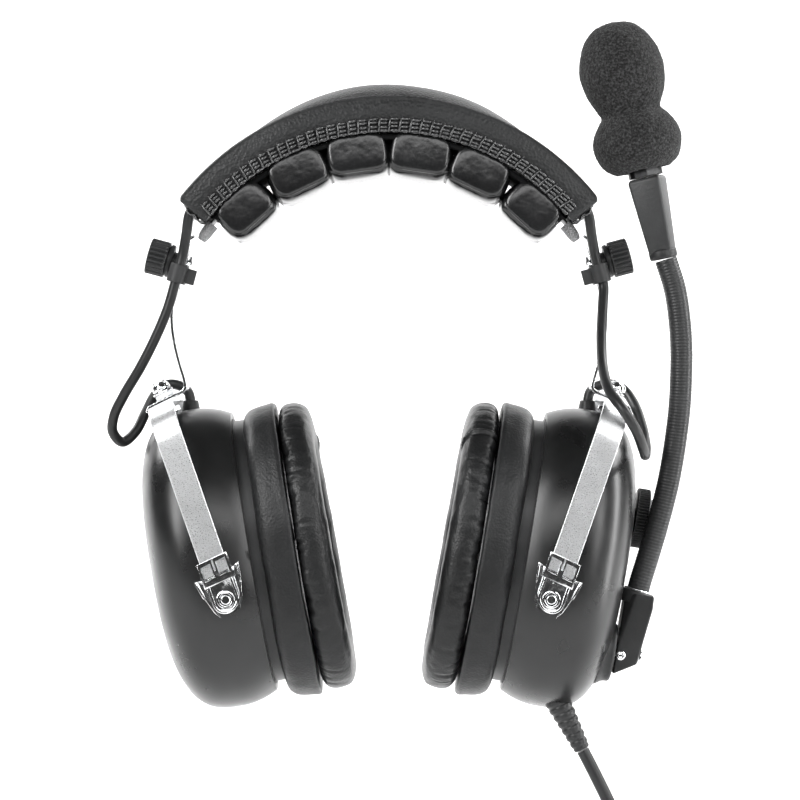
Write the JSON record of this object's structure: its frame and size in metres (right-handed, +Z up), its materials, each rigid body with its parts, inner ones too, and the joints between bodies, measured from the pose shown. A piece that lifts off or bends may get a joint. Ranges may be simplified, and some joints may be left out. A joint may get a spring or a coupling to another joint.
{
  "type": "aviation headset",
  "caption": "Over-ear passive aviation headset: sprung band with laced pad, slotted adjusters, swivelling stirrups, tilting domes, gooseneck boom with foam windscreen.",
  "frame": {"origin": "midway between the wearer's ears, on the ear axis", "axes": "+Z up, -Y the way the wearer faces, +X the wearer's left, the side with the boom"},
  "size_m": [0.2042, 0.0952, 0.3952],
  "materials": {
    "leather": "grained black leather",
    "leatherette": "glossy black leatherette",
    "foam": "open-pored dark grey foam",
    "steel": "brushed stainless",
    "rubber": "black jacket",
    "plastic": "satin black moulded plastic",
    "black_metal": "black-coated metal"
  },
  "bodies": {
    "headband": {"headband_spring": "steel", "head_pad_cover": "leather", "head_pad_foam": "foam", "cushion_plate": "steel", "head_cushion": "leatherette", "overhead_wire": "rubber", "wire_loop_left": "rubber", "wire_loop_right": "rubber", "cord_clip_left": "rubber", "cord_clip_right": "rubber", "adjuster_screw_left": "steel", "adjuster_screw_right": "steel"},
    "knob_left": {"adjuster_knob_left": "plastic"},
    "slider_left": {"slider_strip_left": "steel", "swivel_bolt_left": "steel"},
    "stirrup_left": {"stirrup_left": "steel", "pivot_clip_left_front": "steel", "pivot_clip_left_rear": "steel"},
    "cup_left": {"dome_shell_left": "plastic", "pivot_pin_left_front": "steel", "pivot_pin_left_rear": "steel", "baffle_plate_left": "plastic", "ear_seal_base_left": "leather", "ear_seal_cushion_left": "leather", "speaker_driver_left": "black_metal", "speaker_foam_left": "foam", "dome_liner_left": "foam", "volume_pot": "black_metal", "boom_base": "plastic", "cord_strain_relief": "rubber", "comm_cord": "rubber", "cord_coil": "rubber", "cord_tie": "rubber", "plug": "black_metal"},
    "knob_right": {"adjuster_knob_right": "plastic"},
    "slider_right": {"slider_strip_right": "steel", "swivel_bolt_right": "steel"},
    "stirrup_right": {"stirrup_right": "steel", "pivot_clip_right_front": "steel", "pivot_clip_right_rear": "steel"},
    "cup_right": {"dome_shell_right": "plastic", "pivot_pin_right_front": "steel", "pivot_pin_right_rear": "steel", "baffle_plate_right": "plastic", "ear_seal_base_right": "leather", "ear_seal_cushion_right": "leather", "speaker_driver_right": "black_metal", "speaker_foam_right": "foam", "dome_liner_right": "foam"},
    "volume_knob": {"volume_knob": "plastic"},
    "boom": {"boom_block": "plastic", "boom_screw": "steel", "boom_flex_lower": "black_metal"},
    "boom_tip": {"boom_flex_upper": "black_metal", "mic_housing": "plastic", "mic_capsule": "black_metal", "windscreen": "foam"}
  },
  "joints": [
    {"name": "knob_left_turn", "type": "hinge", "parent": "headband", "child": "knob_left", "pos_m": [0.07305, 0, 0.09949], "axis": [0.9659, 0, 0.2588], "range_deg": [-90, 360]},
    {"name": "slider_left_slide", "type": "slide", "parent": "headband", "child": "slider_left", "axis": [0.2588, 0, -0.9659], "range_m": [-0.014, 0.0045], "deforming": ["wire_loop_left"]},
    {"name": "stirrup_left_swivel", "type": "hinge", "parent": "slider_left", "child": "stirrup_left", "pos_m": [0.0778, 0, 0.0519], "axis": [0.4352, 0, 0.9003], "range_deg": [-20, 20], "deforming": ["wire_loop_left"]},
    {"name": "cup_left_tilt", "type": "hinge", "parent": "stirrup_left", "child": "cup_left", "pos_m": [0.0545, 0, -0.015], "axis": [0, 1, 0], "range_deg": [-2, 12], "deforming": ["wire_loop_left"]},
    {"name": "knob_right_turn", "type": "hinge", "parent": "headband", "child": "knob_right", "pos_m": [-0.07305, 0, 0.09949], "axis": [-0.9659, 0, 0.2588], "range_deg": [-90, 360]},
    {"name": "slider_right_slide", "type": "slide", "parent": "headband", "child": "slider_right", "axis": [-0.2588, 0, -0.9659], "range_m": [-0.014, 0.0045], "deforming": ["wire_loop_right"]},
    {"name": "stirrup_right_swivel", "type": "hinge", "parent": "slider_right", "child": "stirrup_right", "pos_m": [-0.0778, 0, 0.0519], "axis": [-0.4352, 0, 0.9003], "range_deg": [-20, 20], "deforming": ["wire_loop_right"]},
    {"name": "cup_right_tilt", "type": "hinge", "parent": "stirrup_right", "child": "cup_right", "pos_m": [-0.0545, 0, -0.015], "axis": [0, -1, 0], "range_deg": [-12, 12], "deforming": ["wire_loop_right"]},
    {"name": "volume_turn", "type": "hinge", "parent": "cup_left", "child": "volume_knob", "pos_m": [0.08939, 0.008, 0.00995], "axis": [0.9863, 0, -0.165], "range_deg": [-140, 140]},
    {"name": "boom_swing", "type": "hinge", "parent": "cup_left", "child": "boom", "pos_m": [0.08162, -0.008, -0.0365], "axis": [0.9863, 0, -0.165], "range_deg": [0, 150]},
    {"name": "boom_bend", "type": "hinge", "parent": "boom", "child": "boom_tip", "pos_m": [0.1016, -0.008, 0.069], "axis": [0.9863, 0, -0.165], "range_deg": [-45, 45]}
  ]
}
